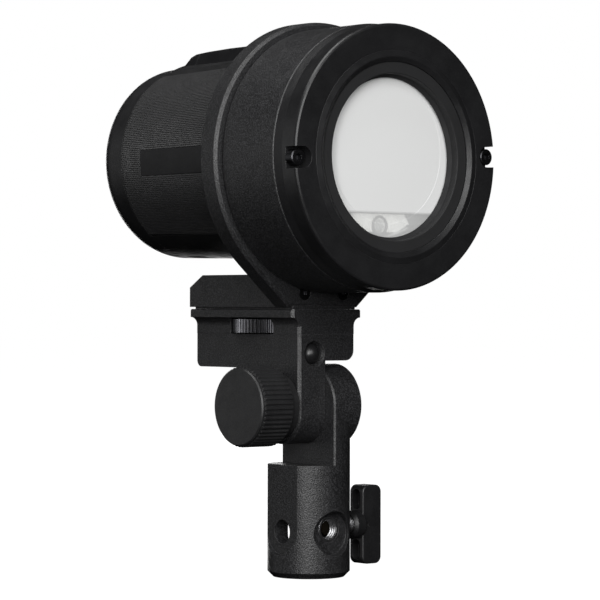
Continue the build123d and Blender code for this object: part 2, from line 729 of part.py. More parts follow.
def rear_cap():
    body = barrel(0, (CAP_FRONT, HEAD_REAR))
    body = fillet(edges_at(body, "Y", HEAD_REAR), CAP_FILLET)
    hollow = barrel(-CAP_WALL, (CAP_FRONT - 1, HEAD_REAR - CAP_WALL))
    body -= fillet(edges_at(hollow, "Y", HEAD_REAR - CAP_WALL), CAP_FILLET - CAP_WALL)
    body -= vent_slots(EXHAUST_Y)
    low, high = DISPLAY_Z
    body -= block(both(DISPLAY_HALF_X), (HEAD_REAR - 1.1, HEAD_REAR + 1), (low, high))
    body -= block(both(DISPLAY_HALF_X - 1.5), (80, 90), (low + 1.5, high - 1.5))
    body -= rod_y(DIAL_R + 0.35, (HEAD_REAR - 1.6, 90), 0, DIAL_Z)
    body -= rod_y(4.7, (80, 90), 0, DIAL_Z)
    for x in both(KEY_X):
        body -= rod_y(KEY_R + 0.3, (80, 90), x, DIAL_Z)
    for x, drop in ((-24, 2), (24, 2), (0, 25.5)):
        body += rod_y(2.0, (BOARD_Y[1], HEAD_REAR - 2), x, HEAD_Z - drop)
    return body


def display_window():
    low, high = DISPLAY_Z
    inset = 0.1
    size = both(DISPLAY_HALF_X - inset)
    return block(size, (HEAD_REAR - 1.1, HEAD_REAR - 0.1), (low + inset, high - inset))


def display_panel():
    low, high = DISPLAY_Z
    depth = HEAD_REAR - CAP_WALL
    return block(both(DISPLAY_HALF_X), (depth - 2.0, depth - 0.05), (low, high))


def control_dial():
    plane = Plane((0, 91.0, DIAL_Z), x_dir=(1, 0, 0), z_dir=(0, -1, 0))
    body = ridged(plane, DIAL_R, 0.35, 40, 4.3)
    body += rod_y(4.5, (81.0, 87.0), 0, DIAL_Z)
    return body - rod_y(5.0, (87.3, 92), 0, DIAL_Z) - rod_y(3.1, (80, 92), 0, DIAL_Z)


def dial_button():
    head = rod_y(4.75, (88.2, 91.4), 0, DIAL_Z)
    head = chamfer(edges_at(head, "Y", 91.4), 0.5)
    return head + rod_y(2.9, (80.3, 88.5), 0, DIAL_Z)


def key(x):
    """A round key with a retaining flange behind the rear wall."""
    body = rod_y(KEY_R, (80.3, HEAD_REAR + 0.9), x, DIAL_Z)
    body = chamfer(edges_at(body, "Y", HEAD_REAR + 0.9), 0.5)
    return body + rod_y(KEY_R + 1.0, (82.4, 83.8), x, DIAL_Z)


def power_button():
    return key(-KEY_X)


def test_button():
    return key(KEY_X)


def control_board():
    """The board with the key switches and the dial's encoder soldered on it."""
    board = rod_y(30.0, BOARD_Y, 0, HEAD_Z)
    board -= block(both(8), (70, 80), (HEAD_Z + 20, HEAD_Z + 40))
    for x in (-KEY_X, 0, KEY_X):
        board += block((x - 3, x + 3), (BOARD_Y[1], SWITCH_Y), (DIAL_Z - 3, DIAL_Z + 3))
    return board


def usb_port():
    y = (PORT_Y[0] + PORT_Y[1]) / 2
    low = HEAD_Z - barrel_radius(y) + SKIN + 1.0
    socket = block(both(4.8), (y - 2.5, y + 2.5), (low, low + 5.0))
    return socket - block(both(4.2), (y - 1.6, y + 1.6), (low - 1, low + 4.0))


def port_cover():
    """A flap in the bottom cover with a hinge barrel at its rear edge and a nail notch at its front edge."""
    hinge_y, hinge_rise, hinge_r = PORT_HINGE
    span = (PORT_Y[0], hinge_y - 0.2)
    flap = skin(span) & block(both(PORT_HALF_X), span, (100, HEAD_Z - 30))
    flap += rod_x(hinge_r, both(4.0), hinge_y, HEAD_Z - barrel_radius(hinge_y) + hinge_rise)
    low = HEAD_Z - barrel_radius(PORT_Y[0])
    return flap - block(both(4), (PORT_Y[0] - 1, PORT_Y[0] + 1.2), (100, low + 0.7))


def battery_outline():
    """The pack's side view as (Y, Z) points: a flat top that falls away at the back."""
    front, back = PACK_Y
    return [
        (front, PACK_BOTTOM),
        (back, PACK_BOTTOM),
        (back, HEAD_Z + 36.3),
        (back - 2.9, PACK_TOP - 2.2),
        (back - 5.5, PACK_TOP - 1.1),
        (back - 13.0, PACK_TOP - 0.5),
        (back - 26.0, PACK_TOP),
        (front, PACK_TOP),
    ]


def battery_block():
    """The whole pack as one solid, with leaning sides above the bay."""
    points = [(0, y, z) for y, z in battery_outline()]
    body = extrude(make_face(Polyline(*points, close=True)), PACK_HALF_X, dir=(1, 0, 0), both=True)
    lean = [
        (PACK_HALF_X, HEAD_Z + 38.0),
        (PACK_HALF_X - 2.6, PACK_TOP - 0.8),
        (PACK_HALF_X - 3.6, PACK_TOP + 0.01),
        (PACK_HALF_X + 5, PACK_TOP + 1),
        (PACK_HALF_X + 5, HEAD_Z + 38.0),
    ]
    wedge = slab_y(lean, (0, 70))
    return body - wedge - mirror(wedge, Plane.YZ)


def latch_space(seam, travel):
    """The rear top corner of the pack, grown by a seam in front and by the latch's travel below."""
    return block(both(PACK_HALF_X + 1), (LATCH_Y - seam, 70), (LATCH_BOTTOM - travel, PACK_TOP + 5))


def battery_case():
    body = battery_block() - latch_space(GAP, LATCH_GAP)
    inside = (PACK_Y[0] + 1.5, PACK_Y[1] - 1.5)
    return body - block(both(PACK_HALF_X - 1.0), inside, (PACK_BOTTOM + 1.5, LATCH_BOTTOM - 3.0))


def battery_cells():
    low = PACK_BOTTOM + 1.5 + CELL_R + GAP
    places = [(side * (CELL_R + GAP), low + row * (2 * CELL_R + GAP)) for side in (-1, 1) for row in (0, 1)]
    return Compound(children=[rod_y(CELL_R, CELL_Y, x, z) for x, z in places])


def battery_latch():
    return battery_block() & latch_space(0, 0)


def battery_contacts():
    blades = [block((x - 0.6, x + 0.6), (10, 20), (166.0, PACK_BOTTOM - 0.15)) for x in (-9, -3, 3, 9)]
    return Compound(children=blades)


def glass_bezel():
    return turned_y(
        [
            (HEAD_R - 0.5, HEAD_FRONT),
            (33.2, HEAD_FRONT),
            (33.2, HEAD_FRONT + 0.9),
            (34.4, HEAD_FRONT + 0.9),
            (34.4, SHELL_FRONT),
            (HEAD_R, SHELL_FRONT),
            (HEAD_R, HEAD_FRONT + 0.5),
        ],
        HEAD_Z,
    )


def front_glass():
    return turned_y(
        [
            (0, HEAD_FRONT + 0.2),
            (32.9, HEAD_FRONT + 0.2),
            (32.9, HEAD_FRONT + 1.0),
            (34.3, HEAD_FRONT + 1.0),
            (34.3, HEAD_FRONT + 2.6),
            (0, HEAD_FRONT + 2.6),
        ],
        HEAD_Z,
    )


def glass_gasket():
    return tube_y(33.0, 34.8, (SHELL_FRONT + 0.15, SHELL_FRONT + 1.1), HEAD_Z)


def reflector_radius(y):
    """Inner radius of the parabolic bowl, from its throat to its mouth."""
    throat, mouth = -18.0, -41.0
    share = (y - throat) / (mouth - throat)
    return 12.2 + 20.0 * sqrt(share)


def reflector():
    stations = [-18.0 - 23.0 * (i / 8) ** 2 for i in range(9)]
    inner = [(reflector_radius(y), y) for y in stations]
    outer = [(r + 0.9, y + 0.35) for r, y in reversed(inner)]
    return turned_y(inner + outer, HEAD_Z)


def flash_tube():
    ring = Pos(0, -32.0, HEAD_Z) * Rot(90, 0, 0) * Torus(8.0, 2.0)
    for x in both(8.0):
        ring += rod_y(2.0, (-32.0, -18.0), x, HEAD_Z)
    return ring


def tube_base():
    return rod_y(11.6, (-18.0, -12.1), 0, HEAD_Z)


def led_panel():
    outline = [(-12.5, 139.4), (12.5, 139.4), (15.0, 136.0), (9.0, 132.6), (-9.0, 132.6), (-15.0, 136.0)]
    return slab_y(outline, (-41.0, -39.6)) - rod_y(2.8, (-45, -30), 0, 134.9)


def led_lens():
    lens = Pos(0, -39.9, 134.9) * Sphere(2.7)
    return lens & block(both(5), (-45, -39.7), (125, 145))


def bulkhead():
    inside = HEAD_R - SKIN - SHELL_WALL - 0.4
    disc = rod_y(inside, (-12.0, -9.0), 0, HEAD_Z)
    return disc - block(both(14), (-20, 0), (HEAD_Z - 30, HEAD_Z - 20))


def chassis():
    plate = block(both(33), (-9.0, 69.0), (161.6, 163.9))
    for y in (8.0, 44.0):
        plate += block(both(16.5), (y, y + 4), (152, 162))
    return plate - rod_y(14.05, (-10, 70), 0, 146.5)


def capacitor():
    can = rod_y(14.0, (-4.0, 57.0), 0, 146.5)
    return chamfer(edges_at(can, "Y", 57.0), 1.0)


def power_board():
    return block(both(28), (0, 66), (164.0, 165.9))


def fan_frame():
    body = block(both(15), (60.0, 68.0), (131.3, 161.3))
    body -= rod_y(13.2, (59, 66.8), 0, 146.3)
    body -= rod_y(12.4, (66, 69), 0, 146.3)
    for angle in (45, 135):
        bar = Pos(0, 67.4, 146.3) * Rot(0, angle, 0) * Box(30, 1.2, 3)
        body += bar & rod_y(14, (60, 68), 0, 146.3)
    return body + rod_y(2.0, (61.5, 67.5), 0, 146.3)


def fan_rotor():
    hub = rod_y(5.5, (60.6, 66.2), 0, 146.3)
    for i in range(7):
        blade = Pos(8.6, 0, 0) * Rot(35, 0, 0) * Box(7.4, 1.0, 5.0)
        hub += Pos(0, 63.4, 146.3) * Rot(0, 360 / 7 * i, 0) * blade
    return hub - rod_y(2.06, (61.4, 67), 0, 146.3)


PARTS = (
    stand_socket,
    thread_insert,
    clamp_pad,
    clamp_screw,
    t_handle,
    tilt_bolt,
    friction_washer,
    knob_washer,
    tilt_knob,
    knob_insert,
    tilt_bracket,
    bracket_screws,
    clamp_shoe,
    thumbwheel,
    lock_screw,
    release_button,
    release_spring,
    adapter_foot,
    adapter_plate,
    plate_screws,
    adapter_drum,
    drum_screws,
    front_ring,
    ring_screws,
    trim_ring,
    front_baffle,
    inner_sleeve,
    head_shell,
    grip_sleeve,
    side_badges,
    bottom_cover,
    bay_frame,
    rear_cap,
    display_window,
    display_panel,
    control_dial,
    dial_button,
    power_button,
    test_button,
    control_board,
    usb_port,
    port_cover,
    battery_case,
    battery_cells,
    battery_latch,
    battery_contacts,
    glass_bezel,
    front_glass,
    glass_gasket,
    reflector,
    flash_tube,
    tube_base,
    led_panel,
    led_lens,
    bulkhead,
    chassis,
    capacitor,
    power_board,
    fan_frame,
    fan_rotor,
)

os.makedirs("parts", exist_ok=True)
for make in PARTS:
    export_step(make(), f"parts/{make.__name__}.step")
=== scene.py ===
"""Looks of the compact flash head in its ring adapter and tilting stand bracket."""

import json
from math import acos, asin, cos, pi, radians, sin

import bmesh
import bpy
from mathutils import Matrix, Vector


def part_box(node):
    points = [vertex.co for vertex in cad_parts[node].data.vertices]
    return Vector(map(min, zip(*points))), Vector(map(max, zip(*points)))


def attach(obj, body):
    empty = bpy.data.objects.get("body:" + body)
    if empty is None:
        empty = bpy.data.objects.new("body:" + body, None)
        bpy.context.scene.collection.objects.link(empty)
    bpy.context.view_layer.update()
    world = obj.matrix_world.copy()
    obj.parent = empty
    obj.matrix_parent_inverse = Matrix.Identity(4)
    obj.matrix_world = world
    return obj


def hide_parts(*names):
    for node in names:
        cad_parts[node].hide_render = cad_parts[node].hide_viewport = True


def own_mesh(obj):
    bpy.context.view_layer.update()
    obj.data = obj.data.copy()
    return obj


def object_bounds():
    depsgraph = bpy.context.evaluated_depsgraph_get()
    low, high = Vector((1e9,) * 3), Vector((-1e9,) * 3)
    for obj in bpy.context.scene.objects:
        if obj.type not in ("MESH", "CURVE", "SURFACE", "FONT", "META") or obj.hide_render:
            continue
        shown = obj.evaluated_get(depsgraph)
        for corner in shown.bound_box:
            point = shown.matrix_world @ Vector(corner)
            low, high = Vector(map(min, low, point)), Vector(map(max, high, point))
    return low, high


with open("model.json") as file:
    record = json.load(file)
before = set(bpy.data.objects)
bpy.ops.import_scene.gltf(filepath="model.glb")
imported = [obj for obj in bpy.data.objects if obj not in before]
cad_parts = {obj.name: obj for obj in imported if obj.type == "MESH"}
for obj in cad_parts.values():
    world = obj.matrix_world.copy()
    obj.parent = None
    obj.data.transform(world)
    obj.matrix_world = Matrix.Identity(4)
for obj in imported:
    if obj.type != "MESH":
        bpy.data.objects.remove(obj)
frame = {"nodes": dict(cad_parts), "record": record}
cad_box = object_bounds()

MM = 0.001
CLEAR_TO = 139.4 * MM
GLASS_RIM = (27.2 * MM, 27.6 * MM)
SLOTS = {entry["node"]: entry["material_slot"] for entry in frame["record"]["subparts"]}


# ---- Materials ----


class Surface:
    """One procedural material, laid out in the piece's own coordinates."""

    def __init__(self, name, colour, roughness, metallic=0.0):
        self.material = bpy.data.materials.new(name)
        self.material.use_nodes = True
        self.tree = self.material.node_tree
        self.shader = self.tree.nodes["Principled BSDF"]
        self.place = self.tree.nodes.new("ShaderNodeTexCoord").outputs["Object"]
        self.normal = None
        self.set("Base Color", (*colour, 1.0))
        self.set("Roughness", roughness)
        self.set("Metallic", metallic)

    def set(self, socket, value):
        self.shader.inputs[socket].default_value = value

    def feed(self, socket, source):
        self.tree.links.new(source, self.shader.inputs[socket])

    def node(self, kind, inputs, **settings):
        made = self.tree.nodes.new(kind)
        for key, value in settings.items():
            setattr(made, key, value)
        for key, value in inputs.items():
            if isinstance(value, bpy.types.NodeSocket):
                self.tree.links.new(value, made.inputs[key])
            else:
                made.inputs[key].default_value = value
        return made

    def noise(self, size, detail=2.0, stretch=(1, 1, 1)):
        """A noise whose blobs are about this many millimetres across."""
        place = self.node("ShaderNodeMapping", {"Vector": self.place, "Scale": stretch}).outputs[0]
        inputs = {"Vector": place, "Scale": 1 / (size * MM), "Detail": detail}
        return self.node("ShaderNodeTexNoise", inputs).outputs["Fac"]

    def spread(self, value, low, high, start=0.3, end=0.7):
        """Maps a noise's usual span to low and high."""
        inputs = {"Value": value, "From Min": start, "From Max": end, "To Min": low, "To Max": high}
        return self.node("ShaderNodeMapRange", inputs).outputs[0]

    def blend(self, factor, first, second):
        """A colour between two others."""
        mix = self.node("ShaderNodeMix", {"Factor": factor}, data_type="RGBA")
        for socket, value in ((mix.inputs[6], first), (mix.inputs[7], second)):
            if isinstance(value, bpy.types.NodeSocket):
                self.tree.links.new(value, socket)
            else:
                socket.default_value = (*value, 1.0)
        return mix.outputs[2]

    def bump(self, height, depth):
        """Adds relief of this many millimetres on top of the relief so far."""
        inputs = {"Height": height, "Distance": depth * MM, "Strength": 1.0}
        if self.normal is not None:
            inputs["Normal"] = self.normal
        self.normal = self.node("ShaderNodeBump", inputs).outputs[0]
        self.feed("Normal", self.normal)

    def edges(self, radius):
        """Rounds the shading of hard edges and returns a mask that is 1 on an edge and 0 on a flat."""
        rounded = self.node("ShaderNodeBevel", {"Radius": radius * MM}, samples=4).outputs[0]
        flat = self.tree.nodes.new("ShaderNodeNewGeometry").outputs["Normal"]
        facing = self.node("ShaderNodeVectorMath", {0: rounded, 1: flat}, operation="DOT_PRODUCT")
        self.normal = rounded
        self.feed("Normal", rounded)
        return self.spread(facing.outputs["Value"], 1.0, 0.0, 0.80, 0.995)


def coated(name, colour, roughness, grain, peel, edge=0.25, edge_wear_and_highlight=0.0, spread=0.25, fleck=0.35):
    """Paint or moulded plastic. Grain and peel are (size, depth) in millimetres."""
    surface = Surface(name, colour, roughness)
    edge_mask = surface.edges(edge)
    cloud = surface.noise(14.0, 4.0)
    low = tuple(c * (1 - spread) for c in colour)
    high = tuple(c * (1 + spread) for c in colour)
    tone = surface.blend(surface.spread(cloud, 0.0, 1.0), low, high)
    speck = surface.noise(grain[0] * 1.1, 1.0)
    tone = surface.blend(surface.spread(speck, 0.0, fleck, 0.45, 0.65), tone, tuple(c * 4 for c in colour))
    # Lighter edges: partly rubbed paint, partly a painted highlight along rims, seams and chamfers.
    if edge_wear_and_highlight:
        patchy = surface.spread(surface.noise(2.2, 3.0), 0.15, 1.0)
        wear_and_highlight_mask = surface.node("ShaderNodeMath", {0: edge_mask, 1: patchy}, operation="MULTIPLY").outputs[0]
        wear_and_highlight_mask = surface.spread(wear_and_highlight_mask, 0.0, edge_wear_and_highlight, 0.0, 1.0)
        tone = surface.blend(wear_and_highlight_mask, tone, tuple(min(c * 5 + 0.03, 1) for c in colour))
    surface.feed("Base Color", tone)
    surface.feed("Roughness", surface.spread(surface.noise(5.0, 3.0), roughness - 0.05, roughness + 0.06))
    surface.bump(surface.noise(peel[0], 2.0), peel[1])
    surface.bump(surface.noise(grain[0], 1.5), grain[1])
    return surface


def machined(name, colour, roughness, stretch, tarnish=0.2):
    """Bare metal with fine tool lines, which run across the stretched direction."""
    surface = Surface(name, colour, roughness, metallic=1.0)
    surface.edges(0.15)
    lines = surface.noise(0.5, 3.0, stretch)
    low = tuple(c * (1 - tarnish) for c in colour)
    cloud = surface.spread(surface.noise(3.0, 3.0), 0.0, 1.0)
    surface.feed("Base Color", surface.blend(cloud, low, colour))
    surface.feed("Roughness", surface.spread(lines, roughness - 0.08, roughness + 0.12))
    surface.bump(lines, 0.012)
    return surface


def opal_glass(axis_z):
    """Frosted glass with a white glow, clearer at the bottom in front of the modelling lamp."""
    surface = Surface("opal_glass", (0.76, 0.765, 0.76), 0.38)
    frost = surface.noise(0.18, 2.0)
    surface.bump(frost, 0.010)
    in_face = {0: surface.place, 1: (1, 0, 1)}
    flat = surface.node("ShaderNodeVectorMath", in_face, operation="MULTIPLY").outputs[0]
    to_axis = {0: flat, 1: (0, 0, axis_z)}
    reach = surface.node("ShaderNodeVectorMath", to_axis, operation="DISTANCE").outputs["Value"]
    surface.bump(surface.spread(reach, 0.0, 1.0, *GLASS_RIM), 0.10)
    surface.feed("Roughness", surface.spread(surface.noise(6.0, 3.0), 0.34, 0.46))
    surface.set("Emission Color", (1.0, 1.0, 0.99, 1.0))
    surface.set("Emission Strength", 0.04)
    height = surface.node("ShaderNodeSeparateXYZ", {"Vector": surface.place}).outputs["Z"]
    surface.feed("Alpha", surface.spread(height, 0.42, 0.93, CLEAR_TO, CLEAR_TO + 1.0 * MM))
    surface.set("Specular IOR Level", 0.5)
    return surface


def clear_lens():
    surface = Surface("clear_lens", (0.93, 0.94, 0.92), 0.08)
    surface.feed("Roughness", surface.spread(surface.noise(2.0, 2.0), 0.05, 0.14))
    surface.bump(surface.noise(0.6, 2.0), 0.01)
    surface.set("Alpha", 0.55)
    surface.set("IOR", 1.52)
    return surface


def circuit_board():
    """Green solder mask with darker copper runs under it."""
    surface = Surface("circuit_board", (0.012, 0.10, 0.045), 0.35)
    inputs = {"Vector": surface.place, "Scale": 420.0}
    cells = surface.node("ShaderNodeTexVoronoi", inputs, distance="CHEBYCHEV").outputs["Distance"]
    runs = surface.spread(cells, 0.0, 1.0, 0.35, 0.42)
    surface.feed("Base Color", surface.blend(runs, (0.008, 0.075, 0.034), (0.03, 0.20, 0.09)))
    surface.bump(runs, 0.03)
    return surface


def lit_from_outside(surface):
    """Adds the light that the frosted glass in front would scatter onto a white part."""
    surface.set("Emission Color", (1.0, 1.0, 0.98, 1.0))
    surface.set("Emission Strength", 0.30)
    return surface


def build_materials():
    """One finished material for each of the record's slots."""
    black_paint = dict(grain=(0.48, 0.15), peel=(1.3, 0.065), spread=0.12, edge=0.35, edge_wear_and_highlight=0.9, fleck=0.9)
    fine_black = dict(grain=(0.14, 0.010), peel=(0.9, 0.008))
    moulded = dict(grain=(0.22, 0.016), peel=(1.6, 0.012))
    smooth = dict(grain=(0.3, 0.001), peel=(4, 0.004))
    white_plastic = coated("white_plastic", (0.72, 0.72, 0.69), 0.42, spread=0.06, **moulded)
    return {
        "powder_coat": coated("powder_coat", (0.010, 0.010, 0.0105), 0.42, **black_paint),
        "satin_black": coated("satin_black", (0.008, 0.008, 0.0085), 0.36, edge_wear_and_highlight=0.5, **fine_black),
        "flat_black": coated("flat_black", (0.006, 0.006, 0.0065), 0.75, **fine_black),
        "moulded_black": coated("moulded_black", (0.008, 0.008, 0.0085), 0.42, **moulded),
        "grip_black": coated("grip_black", (0.012, 0.012, 0.0125), 0.46, edge=0.05, **moulded),
        "badge_black": coated("badge_black", (0.005, 0.005, 0.0055), 0.55, **fine_black),
        "battery_black": coated("battery_black", (0.006, 0.006, 0.0065), 0.33, **fine_black),
        "knob_black": coated("knob_black", (0.012, 0.012, 0.0125), 0.42, edge=0.10, edge_wear_and_highlight=0.5, **moulded),
        "rubber_black": coated("rubber_black", (0.016, 0.016, 0.017), 0.72, **moulded),
        "screw_black": machined("screw_black", (0.07, 0.07, 0.075), 0.36, (1, 12, 1)),
        "bright_steel": machined("bright_steel", (0.42, 0.42, 0.43), 0.36, (14, 14, 1), tarnish=0.4),
        # The brass is darkened far below its own colour: painted shade for the clamp pad deep inside the
        # stand socket.
        "brass": machined("brass", (0.06, 0.05, 0.035), 0.45, (14, 1, 1)),
        "opal_glass": opal_glass(centre("front_glass").z),
        "clear_lens": clear_lens(),
        "white_plastic": lit_from_outside(white_plastic),
        "display_glass": coated("display_glass", (0.006, 0.007, 0.008), 0.10, **smooth),
        "display_cell": coated("display_cell", (0.07, 0.08, 0.09), 0.30, **fine_black),
        "circuit_board": circuit_board(),
        "cell_sleeve": coated("cell_sleeve", (0.05, 0.16, 0.30), 0.30, **fine_black),
        "mirror_metal": machined("mirror_metal", (0.82, 0.82, 0.83), 0.16, (1, 10, 1), tarnish=0.06),
        "capacitor_can": coated("capacitor_can", (0.03, 0.035, 0.07), 0.28, **fine_black),
        "chassis_plastic": coated("chassis_plastic", (0.10, 0.10, 0.10), 0.50, **moulded),
    }


def centre(node):
    low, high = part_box(node)
    return (low + high) / 2


MATERIALS = {slot: surface.material for slot, surface in build_materials().items()}


def dress(obj, slot):
    """Gives a piece one slot's material."""
    obj.data.materials.clear()
    obj.data.materials.append(MATERIALS[slot])


for name, node in frame["nodes"].items():
    dress(node, SLOTS[name])


# ---- Mesh helpers ----


def add_piece(name, points, faces, slot, body, replaced=(), smooth=False):
    """A mesh piece in the row frame that rides on a body."""
    mesh = bpy.data.meshes.new(name)
    mesh.from_pydata(points, [], faces)
    mesh.validate()
    work = bmesh.new()
    work.from_mesh(mesh)
    bmesh.ops.recalc_face_normals(work, faces=work.faces)
    work.to_mesh(mesh)
    work.free()
    if smooth:
        mesh.shade_smooth()
    piece = bpy.data.objects.new(name, mesh)
    bpy.context.scene.collection.objects.link(piece)
    dress(piece, slot)
    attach(piece, body)
    if replaced:
        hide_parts(*replaced)
    return piece


# ---- Grip panels: a moulded grid of small raised pads on both sides of the head ----

GRIP_PITCH = 0.78 * MM
GRIP_GROOVE = 0.26 * MM
GRIP_DEPTH = 0.26 * MM
CROSS_DEPTH = 0.16 * MM
SKIN = 1.2 * MM

head_axis_z = centre("head_shell").z
grip_low, grip_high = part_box("grip_sleeve")
cap_low, cap_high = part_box("rear_cap")
badge_low, badge_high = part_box("side_badges")
bay_low, bay_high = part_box("bay_frame")
head_radius = grip_high.x
cap_radius = cap_high.x
TAPER_START = 4.0 * MM
SEAM = 0.1 * MM
BAY_GAP = 0.15 * MM
ROUNDING = 1e-6


def head_surface(y):
    """Radius of the head's outer surface, which tapers evenly from the collar to the rear cap."""
    share = max(y - TAPER_START, 0) / (cap_low.y - TAPER_START)
    return head_radius + (cap_radius - head_radius) * share


def grooved_steps(stops, depth):
    """Positions across several spans, each cut into whole pads, and the depth below the surface at each."""
    steps = [(stops[0], 0.0)]
    for start, end in zip(stops, stops[1:]):
        count = max(1, round((end - start) / GRIP_PITCH))
        pitch = (end - start) / count
        for i in range(count):
            edge = start + i * pitch
            if edge > stops[0]:
                steps.append((edge, depth))
            steps.append((edge + GRIP_GROOVE / 2, 0.0))
            steps.append((edge + pitch - GRIP_GROOVE / 2, 0.0))
    steps.append((stops[-1], 0.0))
    return steps


def within(place, start, end):
    """Whether a step at this place begins inside the span."""
    return start - ROUNDING < place < end - ROUNDING


def grip_panel(side):
    """One side's sheet of pads, from the bottom cover up to the battery bay, open round the badge."""
    radius = head_surface((grip_low.y + grip_high.y) / 2)
    heights = (grip_low.z, badge_low.z - SEAM, badge_high.z + SEAM)
    arcs = [radius * asin((z - head_axis_z) / radius) for z in heights]
    arcs.append(radius * acos((bay_high.x + BAY_GAP) / radius))
    around = grooved_steps(arcs, GRIP_DEPTH)
    along = grooved_steps([grip_low.y, badge_low.y - SEAM, badge_high.y + SEAM, grip_high.y], CROSS_DEPTH)
    points = []
    for arc, arc_depth in around:
        angle = arc / radius
        for y, y_depth in along:
            r = head_surface(y) - max(arc_depth, y_depth)
            points.append((side * r * cos(angle), y, head_axis_z + r * sin(angle)))
    faces = []
    columns = len(along)
    for i in range(len(around) - 1):
        beside_badge = within(around[i][0], arcs[1], arcs[2])
        for j in range(columns - 1):
            if not (beside_badge and within(along[j][0], badge_low.y - SEAM, badge_high.y + SEAM)):
                corner = i * columns + j
                faces.append([corner, corner + 1, corner + columns + 1, corner + columns])
    return points, faces


def skirted(points, faces, depth):
    """Closes a sheet's rim with a wall that runs inwards to the head's axis by this depth."""
    edges = dict.fromkeys((a, b) for face in faces for a, b in zip(face, face[1:] + face[:1]))
    rim = [(a, b) for a, b in edges if (b, a) not in edges]
    lowered = {}
    for a in {v for edge in rim for v in edge}:
        x, y, z = points[a]
        r = Vector((x, 0, z - head_axis_z))
        inner = r * ((r.length - depth) / r.length)
        lowered[a] = len(points)
        points.append((inner.x, y, inner.z + head_axis_z))
    for a, b in rim:
        faces.append([b, a, lowered[a], lowered[b]])


for side, label in ((-1, "left"), (1, "right")):
    points, faces = grip_panel(side)
    skirted(points, faces, SKIN)
    add_piece(f"grip_panel_{label}", points, faces, "grip_black", "head", ["grip_sleeve"])


# ---- Turned pieces: both threads of the clamp, and the collar round the modelling lamp ----

THREAD_PITCH = 1.25 * MM
THREAD_DEPTH = 0.45 * MM
SCREW_TIP = 0.5 * MM
INSERT_BORE_R = 3.4 * MM
INSERT_MOUTH = 0.55 * MM
INSERT_CHAMFER = 0.2 * MM
SIDES = 60

# The collar's outline, in millimetres along the axis from the panel and out from the collar's hole.
BEZEL_PROFILE = ((0.0, 0.0), (-0.5, 0.15), (-0.8, 0.5), (-0.8, 0.7), (-0.5, 1.0), (0.0, 1.1))
BEZEL_GAP = 0.12 * MM


def thread_share(turn):
    """Share of the thread's full depth at this share of a turn: crest, flank, root, flank."""
    turn %= 1.0
    if turn < 0.2:
        return 0.0
    if turn < 0.5:
        return (turn - 0.2) / 0.3
    if turn < 0.7:
        return 1.0
    return (1.0 - turn) / 0.3


def thread_stations(start, end):
    count = round(8 * (end - start) / THREAD_PITCH)
    return [start + (end - start) * i / count for i in range(count + 1)]


def turned_rings(middle, axis, rings):
    """Rings of points round an axis through a point. Each ring is a (station, radius, thread depth)."""
    across = Vector((axis.y, axis.z, axis.x))
    up = axis.cross(across)
    points = []
    for station, radius, depth in rings:
        for i in range(SIDES):
            angle = 2 * pi * i / SIDES
            r = radius - depth * thread_share(station / THREAD_PITCH - i / SIDES)
            points.append(middle + axis * station + (across * cos(angle) + up * sin(angle)) * r)
    return points


def ring_faces(count, looped):
    """Quads between neighbouring rings, closed back to the first ring or with a cap at each end."""
    faces = []
    for k in range(count if looped else count - 1):
        near, far = k * SIDES, (k + 1) % count * SIDES
        for i in range(SIDES):
            j = (i + 1) % SIDES
            faces.append([near + i, near + j, far + j, far + i])
    if not looped:
        faces.append(list(range(SIDES)))
        faces.append(list(range((count - 1) * SIDES, count * SIDES)))
    return faces


def threaded_screw():
    low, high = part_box("clamp_screw")
    middle = (low + high) / 2
    radius = (high.y - low.y) / 2
    half = (high.x - low.x) / 2
    rings = [(-half, radius - SCREW_TIP, 0.0)]
    rings += [(station, radius, THREAD_DEPTH) for station in thread_stations(SCREW_TIP - half, half)]
    points = turned_rings(middle, Vector((1, 0, 0)), rings)
    faces = ring_faces(len(rings), False)
    add_piece("clamp_screw_thread", points, faces, "bright_steel", "t_handle", ["clamp_screw"])


def threaded_insert():
    low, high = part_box("thread_insert")
    middle = (low + high) / 2
    outer = (high.x - low.x) / 2
    half = (high.y - low.y) / 2
    mouth = INSERT_BORE_R + INSERT_MOUTH
    rings = [(-half, mouth, 0.0), (-half, outer - INSERT_CHAMFER, 0.0)]
    rings += [(INSERT_CHAMFER - half, outer, 0.0), (half, outer, 0.0), (half, mouth, 0.0)]
    inside = reversed(thread_stations(INSERT_MOUTH - half, half - INSERT_MOUTH))
    rings += [(station, INSERT_BORE_R, -THREAD_DEPTH) for station in inside]
    points = turned_rings(middle, Vector((0, 1, 0)), rings)
    faces = ring_faces(len(rings), True)
    add_piece("thread_insert_bush", points, faces, "bright_steel", "stand_socket", ["thread_insert"])


def led_bezel():
    """The raised collar round the modelling lamp's lens, just in front of its panel."""
    low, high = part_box("led_lens")
    panel_low, panel_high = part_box("led_panel")
    hole = (high.x - low.x) / 2 + BEZEL_GAP
    middle = Vector(((low.x + high.x) / 2, panel_low.y, (low.z + high.z) / 2))
    rings = [(station * MM, hole + width * MM, 0.0) for station, width in BEZEL_PROFILE]
    points = turned_rings(middle, Vector((0, 1, 0)), rings)
    add_piece("led_bezel", points, ring_faces(len(rings), True), "chassis_plastic", "head")


threaded_screw()
threaded_insert()
led_bezel()


# ---- Release spring, a coil of round wire that rides with the bracket ----

SPRING_WIRE = 0.3 * MM
SPRING_TURNS = 6
SPRING_STEPS = 24
WIRE_SIDES = 8


